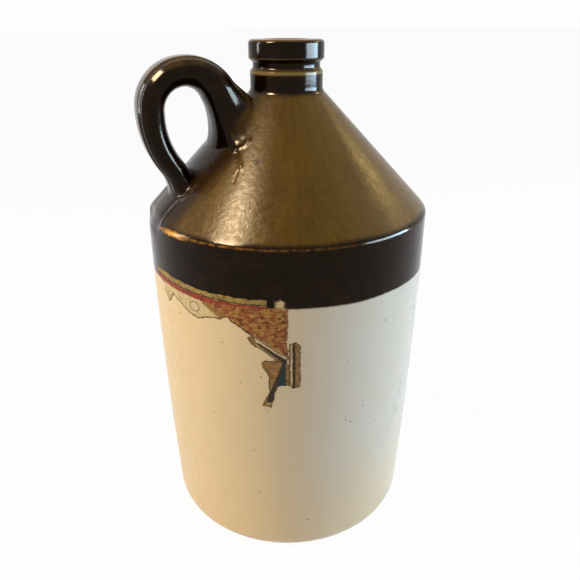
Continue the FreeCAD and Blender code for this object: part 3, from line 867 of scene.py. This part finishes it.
def pulled_in(a, z, depth):
    """The grid with its outermost points slid onto the torn line."""
    rise_z, rise_a = np.gradient(depth, LABEL_RISE, LABEL_TURN * ROUND)
    size = np.hypot(rise_a, rise_z) + 1e-6
    move = np.clip(np.where(depth > 0, 0, -depth / size), 0, 0.45)
    return a + rise_a / size * move / ROUND, z + rise_z / size * move


def paper_r(a, z, depth):
    """Radius of the paper's face: thin at its edge, and curling up along it here and there."""
    curl = np.clip(waver(a, z, 9, 7.7) * 1.4, 0, 1) * np.clip(1 - depth / 3.5, 0, 1) * 0.35
    return wall_r(z) + 0.12 + 0.2 * np.clip(depth, 0, 1) + np.where(depth > 0, curl, 0)


def printed(a, z, depth, wander):
    """Each cell's material number: 0 for bare paper, then the fields in order, then the rim."""
    names = list(FIELDS)
    mid_a = (a[:-1, :-1] + a[1:, 1:]) / 2 + wander[:-1, :-1] * 0.25
    mid_z = (z[:-1, :-1] + z[1:, 1:]) / 2
    kind = np.zeros(mid_a.shape, int)
    for number, name in enumerate(names, 1):
        for polygon in FIELDS[name]:
            kind[inside_depth(mid_a, mid_z, polygon) > 0] = number
    edged = [0] + [names.index(name) + 1 for name in OUTLINED]
    kind[(depth[:-1, :-1] < 0.8) & np.isin(kind, edged)] = len(names) + 1
    return kind


def label_mesh():
    """The paper as a closed sheet, with the material number of each face."""
    a, z, depth, wander = label_grid()
    a, z = pulled_in(a, z, depth)
    keep = depth > 0
    cell = keep[:-1, :-1] | keep[1:, :-1] | keep[:-1, 1:] | keep[1:, 1:]
    used = np.zeros(a.shape, bool)
    for rows in (slice(0, -1), slice(1, None)):
        for cols in (slice(0, -1), slice(1, None)):
            used[rows, cols] |= cell
    angle = np.radians(180 + a[used])

    def sheet(radius):
        return np.stack([radius * np.cos(angle), radius * np.sin(angle), z[used]], 1)

    front, back = sheet(paper_r(a, z, depth)[used]), sheet(wall_r(z[used]) - 0.1)
    index = -np.ones(a.shape, int)
    index[used] = np.arange(used.sum())
    kind = printed(a, z, depth, wander)
    faces, paint, edges = [], [], set()
    for i, j in zip(*np.nonzero(cell)):
        quad = (index[i, j], index[i, j + 1], index[i + 1, j + 1], index[i + 1, j])
        faces.append(quad)
        paint.append(kind[i, j])
        for edge in zip(quad, quad[1:] + quad[:1]):
            if edge[::-1] in edges:
                edges.remove(edge[::-1])
            else:
                edges.add(edge)
    total = len(front)
    faces += [tuple(v + total for v in face[::-1]) for face in faces]
    faces += [(q, p, p + total, q + total) for p, q in sorted(edges)]
    paint += [0] * (len(faces) - len(paint))
    return np.concatenate([front, back]), faces, paint


SPECKS = (0.035, 0.02, 0.01)
ORANGE_RED = (0.27, 0.095, 0.026)
GOLD = (0.33, 0.20, 0.045)
GOLD_WORN = (0.50, 0.32, 0.11)
SCROLL_SHADE = (0.24, 0.055, 0.020)
SCROLL_LINE = (0.055, 0.014, 0.007)
SCROLL_STAIN = (0.085, 0.045, 0.014)


def paper(name, base, deep, wear, worn):
    """Printed paper with blots, scuffs and dark specks."""
    n = Nodes(name)
    blot = n.noise(2.6, 5, 0.65)
    scuff = n.noise(1.1, 4, 0.7)
    colour = n.paint(
        n.mix(n.step(blot, 0.35, 0.68), base, deep),
        (n.mul(n.step(scuff, 0.56, 0.66), worn), wear),
        (n.mul(n.spots(2.4, 0.02, 0.16), 0.5), SPECKS))
    rough = n.add(n.mul(scuff, 0.25), 0.42)
    return n.finish(colour, rough, n.bump(blot, 0.15, n.bump(scuff, 0.08)), 0.15)


def scrolls():
    """Generic gold scrolls with dark outlines, printed on an orange-red ground."""
    n = Nodes("label_ornament")
    swirl = n.noise(7.0, 1.6, 0.45, stretch=(0.9, 0.9, 1.7))
    turns = n.math("FRACT", n.mul(swirl, 5.0))
    which = n.math("FRACT", n.mul(swirl, 2.5))
    colour = n.paint(
        n.mix(n.step(which, 0.30, 0.70), ORANGE_RED, GOLD),
        (n.step(n.noise(1.2, 4, 0.7), 0.54, 0.66), GOLD_WORN),
        (n.mul(n.bell(turns, 0.5, 0.40), 0.8), SCROLL_SHADE),
        (n.mul(n.bell(turns, 0.5, 0.16), 0.9), SCROLL_LINE),
        (n.mul(n.step(n.noise(1.6, 4, 0.65), 0.52, 0.66), 0.7), SCROLL_STAIN))
    return n.finish(colour, 0.5, n.bump(n.bell(turns, 0.5, 0.3), 0.08), 0.15)


label_v, label_f, label_paint = label_mesh()
label = new_piece("label_paper", label_v, label_f, smooth=False)
for kind_name in ("bare", *FIELDS, "rim"):
    label.data.materials.append(
        scrolls() if kind_name == "ornament" else paper("label_" + kind_name, *PAPERS[kind_name]))
label.data.polygons.foreach_set("material_index", label_paint)
label.data.update()
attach(label, "root")
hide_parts("label_scrap")

# --- Stage, light and camera ------------------------------------------------------------


def seen(tree):
    """1 for rays that should meet a white background, 0 for the light on the object."""
    path = tree.nodes.new("ShaderNodeLightPath")
    out = path.outputs["Is Camera Ray"]
    for key in ("Is Glossy Ray", "Is Transmission Ray"):
        both = tree.nodes.new("ShaderNodeMath")
        both.operation = "MAXIMUM"
        tree.links.new(out, both.inputs[0])
        tree.links.new(path.outputs[key], both.inputs[1])
        out = both.outputs[0]
    return out


def choose(tree, factor, lit, shown, surface):
    """Mixes the shader that lights the object with the white one that is shown, by a factor."""
    mix = tree.nodes.new("ShaderNodeMixShader")
    for socket, value in zip(mix.inputs, (factor, lit, shown)):
        tree.links.new(value, socket)
    tree.links.new(mix.outputs[0], surface)


FLOOR_SIZE = 60  # metres, so that its edge is far behind the jug in every view
FLOOR_COLOUR = (0.86, 0.85, 0.83, 1)
FLOOR_WHITE = 0.95  # how much of what is seen of the floor is plain white
ROOM_COLOUR, ROOM_LIGHT = (1.0, 0.97, 0.92, 1), 0.10
WHITE = (0.985, 0.983, 0.98, 1)


def make_floor():
    """A pale floor, nearly all white where it is seen, so that only a soft shadow shows."""
    bpy.ops.mesh.primitive_plane_add(size=FLOOR_SIZE, location=(0, 0, 0))
    floor = bpy.context.object
    floor.name = "floor"
    pale = bpy.data.materials.new("pale_floor")
    pale.use_nodes = True
    tree = pale.node_tree
    matt = tree.nodes["Principled BSDF"]
    matt.inputs["Base Color"].default_value = FLOOR_COLOUR
    matt.inputs["Roughness"].default_value = 0.9
    glow = tree.nodes.new("ShaderNodeEmission")
    glow.inputs["Color"].default_value = (1, 1, 1, 1)
    glow.inputs["Strength"].default_value = 1.0
    share = tree.nodes.new("ShaderNodeMath")
    share.operation = "MULTIPLY"
    share.inputs[1].default_value = FLOOR_WHITE
    tree.links.new(seen(tree), share.inputs[0])
    choose(tree, share.outputs[0], matt.outputs[0], glow.outputs[0],
           tree.nodes["Material Output"].inputs["Surface"])
    floor.data.materials.append(pale)


def make_world():
    """A weak room light, and white where the background is seen."""
    world = bpy.data.worlds.new("studio")
    bpy.context.scene.world = world
    world.use_nodes = True
    tree = world.node_tree
    room = tree.nodes["Background"]
    white = tree.nodes.new("ShaderNodeBackground")
    for light, colour, strength in ((room, ROOM_COLOUR, ROOM_LIGHT), (white, WHITE, 1.0)):
        light.inputs["Color"].default_value = colour
        light.inputs["Strength"].default_value = strength
    choose(tree, seen(tree), room.outputs[0], white.outputs[0],
           tree.nodes["World Output"].inputs["Surface"])


def area(name, azimuth, height, distance, size, power, colour, aim=0.15, gloss=True, light=True):
    """A soft lamp at an azimuth round the jug, turned to a height on its axis.

    gloss and light say whether it shows in reflections and whether it lights surfaces.
    """
    data = bpy.data.lights.new(name, "AREA")
    data.shape = "RECTANGLE"
    data.size, data.size_y = size
    data.energy = power
    data.color = colour
    lamp = bpy.data.objects.new(name, data)
    t = math.radians(azimuth)
    lamp.location = (distance * math.cos(t), distance * math.sin(t), height)
    to_jug = Vector((0, 0, aim)) - lamp.location
    lamp.rotation_euler = to_jug.to_track_quat("-Z", "Y").to_euler()
    lamp.visible_glossy = gloss
    lamp.visible_diffuse = light
    bpy.context.scene.collection.objects.link(lamp)


make_floor()
make_world()
# two lamps that light the jug
area("window_right", 338, 0.60, 1.35, (0.55, 1.1), 23, (0.80, 0.90, 1.0), gloss=False)
area("lamp_left", 179, 0.80, 1.2, (0.8, 0.7), 20.5, (1.0, 0.86, 0.66), gloss=False)
# four that only show as reflections in the glaze
area("window_shine", 334, 0.42, 1.4, (1.15, 0.55), 100, (0.60, 0.90, 1.30), light=False)
area("lamp_shine", 191, 0.60, 0.324, (0.13, 0.13), 6.5, (1.0, 0.90, 0.70), aim=0.2, light=False)
area("right_shine", 10, 0.92, 1.2, (0.30, 0.22), 3.2, (1.0, 0.74, 0.28), aim=0.2, light=False)
area("back_shine", 157, 0.55, 1.5, (0.18, 1.0), 18, (0.88, 0.95, 1.0), light=False)

bpy.context.scene.view_settings.view_transform = "Standard"

# The camera stands a little above the lip, close to the jug, and looks down at it.
TURN = math.radians(20)  # from straight across the handle's plane, towards the handle
PITCH, YAW, ROLL = 0.4283, 0.0047, -0.0029
FAR, HIGH = 0.3459, 0.303
camera = bpy.data.objects.new("camera", bpy.data.cameras.new("camera"))
bpy.context.scene.collection.objects.link(camera)
camera.data.sensor_width = 36
camera.data.lens = 36.31
camera.location = (-FAR * math.sin(TURN), -FAR * math.cos(TURN), HIGH)
camera.rotation_euler = (Matrix.Rotation(-TURN - YAW, 4, "Z")
                         @ Matrix.Rotation(math.pi / 2 - PITCH, 4, "X")
                         @ Matrix.Rotation(ROLL, 4, "Z")).to_euler()
bpy.context.scene.camera = camera
